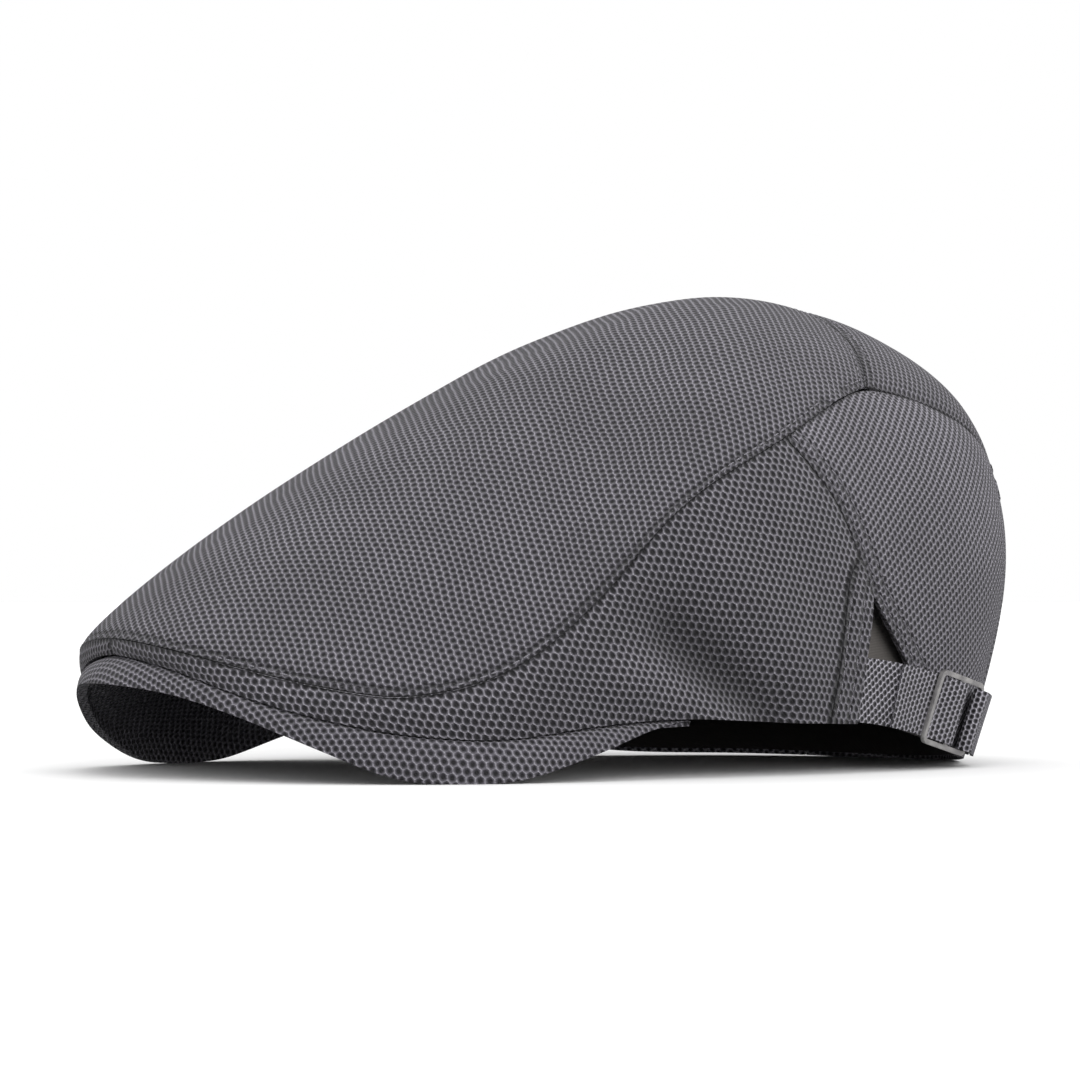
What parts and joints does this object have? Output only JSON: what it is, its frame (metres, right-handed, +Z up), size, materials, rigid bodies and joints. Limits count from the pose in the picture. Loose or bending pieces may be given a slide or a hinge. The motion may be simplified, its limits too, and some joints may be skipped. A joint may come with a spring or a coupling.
{
  "type": "flat cap",
  "caption": "Mesh-cloth flat cap sewn from panels, with a short curved peak, an inner sweatband and a side strap with a metal slide buckle.",
  "frame": {"origin": "middle of the outline in plan, on the surface that the cap rests on", "axes": "+Z up; -Y the way the peak points; +X the wearer's left, where the strap is"},
  "size_m": [0.1854, 0.2822, 0.1339],
  "materials": {
    "mesh_cloth": "grey open mesh, two layers thick, soft and matte",
    "dark_cloth": "dark taupe close weave, matte",
    "buckle_metal": "warm grey, satin"
  },
  "bodies": {
    "root": {"top_panel": "mesh_cloth", "side_panel_left": "mesh_cloth", "side_panel_right": "mesh_cloth", "quarter_panel_left": "mesh_cloth", "quarter_panel_right": "mesh_cloth", "back_panel": "mesh_cloth", "peak": "mesh_cloth", "sweatband": "dark_cloth", "adjuster_strap": "mesh_cloth", "buckle_tab": "mesh_cloth", "slide_buckle": "buckle_metal"}
  },
  "joints": []
}
